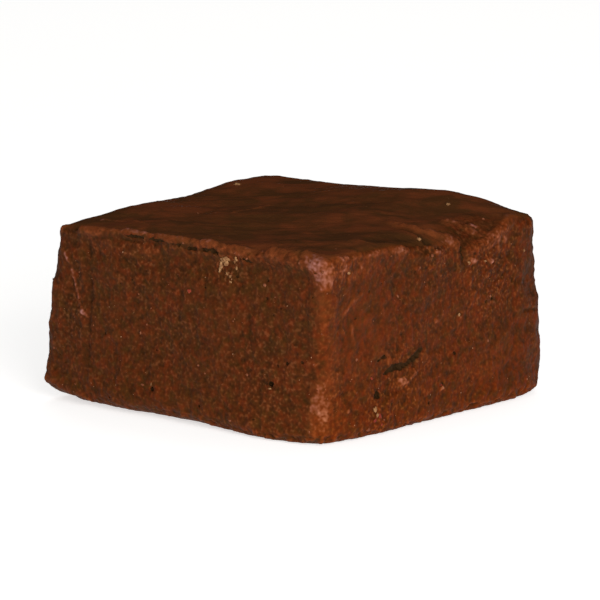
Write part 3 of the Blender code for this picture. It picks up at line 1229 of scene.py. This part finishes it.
holes = placedHoles(treeOf(fudgeSkin.data), holeSettings, holeRows, splitRows)
holes.data.materials.append(fudgeMaterial)
shadeHollowWalls(holes.data, holeSettings["hollow"])
airHoles = newObject("airHoles", fudgeSkin.data.copy())
applyTree(airHoles, airHoleTree(fudgeMaterial, airHoleSizes, airHoleSpread), airHoleSizes)
shadeHollowWalls(airHoles.data, airHoleSpread["hollow"])
print("air holes:", len(airHoles.data.vertices) // airHoleSpread["ballPoints"])
uncutSkin = fudgeSkin.data.copy()  # the crumbs are scattered over this one
markCuts(uncutSkin, (holes.data, airHoles.data))
cutOut(fudgeSkin, holes)
cutOut(fudgeSkin, airHoles)
print("holes are cut, loose specks dropped:", keepLargest(fudgeSkin.data))


# the skin is finished: few enough triangles, smooth shading, a flat underside
def flattenFoot(mesh):
    points = readPoints(mesh)
    points[:, 2] = np.maximum(points[:, 2], 0.0)
    writePoints(mesh, points)


def thin(skin, most):
    count = triangleCount(skin.data)
    if count > most:
        collapse = skin.modifiers.new("thin", "DECIMATE")
        collapse.ratio = most / count
        applyAll(skin)


flattenFoot(fudgeSkin.data)
thin(fudgeSkin, skinSettings["mostTriangles"])
fudgeSkin.data.shade_smooth()
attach(fudgeSkin, bodyName)
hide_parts(blockNode)
print("skin finished with", triangleCount(fudgeSkin.data), "triangles")

# crumbs of paste that stick to the cut sides and edges, and grains of sugar
speckLook = {
    # colour, paler colour, size of the patches, roughness
    "crumbPaste": ((0.110, 0.026, 0.0075), (0.230, 0.078, 0.036), 2.2 * mm, 0.6),
    "sugarGrain": ((0.260, 0.105, 0.045), (0.480, 0.270, 0.150), 0.9 * mm, 0.4),
    "tanSugar": ((0.160, 0.062, 0.022), (0.340, 0.178, 0.074), 0.5 * mm, 0.5),
    "redSugar": ((0.150, 0.016, 0.007), (0.220, 0.034, 0.014), 0.5 * mm, 0.5),
}
speckGloss = 0.10
speckPatches = (2.6, 0.5)  # how strong the patches are, and the share of the paler colour

speckSizes = {
    # of the crumbs, then of the sugar grains
    "spacing": (0.45 * mm, 0.40 * mm),
    "density": (0.9, 0.22),  # tries for each square mm
    "smallest": (0.06 * mm, 0.03 * mm),
    "largest": (0.24 * mm, 0.085 * mm),
    "roughness": (0.75, 0.5),
    "sink": (0.35, 0.25),  # share of its size that a speck sits in the paste
    "edgeBias": (0.85, 0.2),
    "seed": (21, 33),
}

speckSpread = {
    # where each effect starts and is full, then how strong it is at both ends
    "side": (0.3, 0.8, 1.0, 0.06),  # by how far up the surface looks
    "under": (-0.6, -0.3),
    "clump": (-0.10, 0.20, 0.15, 1.0),
    "clumpSize": 3.5 * mm,
    "rarity": 3.0,
    "squash": ((0.7, 0.6, 0.5), (1.2, 1.1, 0.9), 5),
    "turn": ((0, 0, 0), (6.28, 6.28, 6.28), 6),
    "shapes": [(number * 5.3, 1.7, 0.4) for number in range(4)],  # where each shape is in the noise
    "lumps": (1.1, 2.0, 0.6),
}

bitShape = {
    "firstSeed": 40,
    "fineness": 3,
    "roughSize": 0.16 * mm,
    "roughDepth": 0.07 * mm,
}

# bits in known places, written like the holes
tanRows = {
    "front": [
        (630, 872, 0.46, 0.34, 0.24), (637, 858, 0.36, 0.4, 0.26), (643, 880, 0.34, 0.26, 0.2),
        (621, 842, 0.24, 0.46, 0.2), (616, 818, 0.17, 0.3, 0.14), (671, 884, 0.18, 0.28, 0.16),
        (664, 868, 0.12, 0.16, 0.12), (643, 806, 0.24, 0.2, 0.15), (652, 792, 0.18, 0.18, 0.13),
        (656, 768, 0.2, 0.14, 0.12), (670, 836, 0.11, 0.22, 0.1), (395, 190, 0.12, 0.14, 0.12),
        (790, 268, 0.26, 0.09, 0.1),
    ],
    "top": [
        (98, 731, 0.4, 0.26, 0.14), (768, 800, 0.24, 0.24, 0.18), (935, 446, 0.2, 0.22, 0.18),
    ],
    "right": [
        (215, 144, 0.24, 0.28, 0.18), (220, 112, 0.18, 0.2, 0.16), (108, 855, 0.22, 0.14, 0.14),
        (574, 512, 0.14, 0.16, 0.12), (623, 765, 0.16, 0.22, 0.14), (694, 754, 0.14, 0.13, 0.12),
        (872, 760, 0.12, 0.2, 0.12),
    ],
}
redRows = {
    "front": [
        (520, 692, 0.32, 0.2, 0.09),
    ],
    "right": [
        (486, 182, 0.22, 0.16, 0.07), (230, 108, 0.22, 0.3, 0.1), (212, 90, 0.2, 0.22, 0.12),
        (238, 60, 0.14, 0.14, 0.08), (205, 302, 0.18, 0.16, 0.08),
    ],
}


def makeSpeckMaterial(name, first, second, size, rough):
    material, tree, shader = newMaterial(name)
    place = put(tree, "ShaderNodeTexCoord").outputs["Object"]
    share = blend(tree, speckPatches, cloud(tree, place, size), clamp=True)
    plug(tree, mixColour(tree, share, first, second), shader.inputs["Base Color"])
    shader.inputs["Roughness"].default_value = rough
    shader.inputs["Specular IOR Level"].default_value = speckGloss
    return material


def finishBits(thing):
    flattenFoot(thing.data)
    thing.data.shade_smooth()
    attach(thing, bodyName)
    print(thing.name, "has", triangleCount(thing.data), "triangles")


def placedBits(name, surface, rows, material, shape):
    # each bit is a rough pebble half sunk in the paste
    bm = bmesh.new()
    for seed, (face, along, up, *sizes) in enumerate(byFace(rows), shape["firstSeed"]):
        point, facing = placeOn(surface, face, along, up)
        addBlob(bm, point, facing, *sizes, seed, shape["fineness"])
    mesh = meshFrom(bm, name)
    roughen(mesh, shape["roughSize"], shape["roughDepth"])
    mesh.materials.append(material)
    finishBits(newObject(name, mesh))


def speckTree(name, material, sizes, spread, fineness):
    # uneven bits, each a ball pushed in and out by noise, set part way into the paste
    tree, start, end = newShapeTree(name, sizes)
    given = start.outputs
    onSide, notUnder, clump = spreadOver(tree, spread)
    nearEdge = times(tree, shapeMark(tree, "edge"), given["edgeBias"])
    nearEdge = addUp(tree, nearEdge, calc(tree, "SUBTRACT", 1.0, given["edgeBias"]))
    notHollow = calc(tree, "SUBTRACT", 1.0, shapeMark(tree, "hollow"), clamp=True)
    points = strew(tree, given, times(tree, onSide, notUnder, nearEdge, clump, notHollow))

    shapes = put(tree, "GeometryNodeGeometryToInstance")
    for number in spread["shapes"]:
        ball = put(tree, "GeometryNodeMeshIcoSphere", {"Radius": 1.0, "Subdivisions": fineness})
        place, _ = placeAndFacing(tree)
        lumps = cloud(tree, vecCalc(tree, "ADD", place, number), *spread["lumps"])
        offset = vecCalc(tree, "SCALE", place, times(tree, lumps, given["roughness"], 2.0))
        tree.links.new(shifted(tree, ball.outputs[0], offset), shapes.inputs[0])

    radius = anyRadius(tree, given, spread["rarity"])
    sunk = vecCalc(tree, "SCALE", points["Normal"], times(tree, radius, given["sink"], -1.0))
    settings = {
        "Points": shifted(tree, points[0], sunk),
        "Instance": shapes.outputs[0],
        "Pick Instance": True,
        "Rotation": anyVector(tree, *spread["turn"]),
        "Scale": vecCalc(tree, "SCALE", anyVector(tree, *spread["squash"]), radius),
    }
    bits = put(tree, "GeometryNodeInstanceOnPoints", settings)
    return finishShapeTree(tree, bits.outputs[0], material, end)


def scatterOnSkin(name, tree, sizes):
    thing = newObject(name, uncutSkin.copy())
    applyTree(thing, tree, sizes)
    finishBits(thing)


crumbSizes, grainSizes = ({name: pair[kind] for name, pair in speckSizes.items()} for kind in (0, 1))
speckMaterials = [makeSpeckMaterial(name, *look) for name, look in speckLook.items()]
crumbMaterial, grainMaterial, tanMaterial, redMaterial = speckMaterials
scatterOnSkin("crumbs", speckTree("fudgeCrumbs", crumbMaterial, crumbSizes, speckSpread, 2), crumbSizes)
scatterOnSkin("sugarGrains", speckTree("fudgeGrains", grainMaterial, grainSizes, speckSpread, 1), grainSizes)
skinSurface = treeOf(fudgeSkin.data)
placedBits("tanSugarBits", skinSurface, tanRows, tanMaterial, bitShape)
placedBits("redSugarBits", skinSurface, redRows, redMaterial, bitShape)
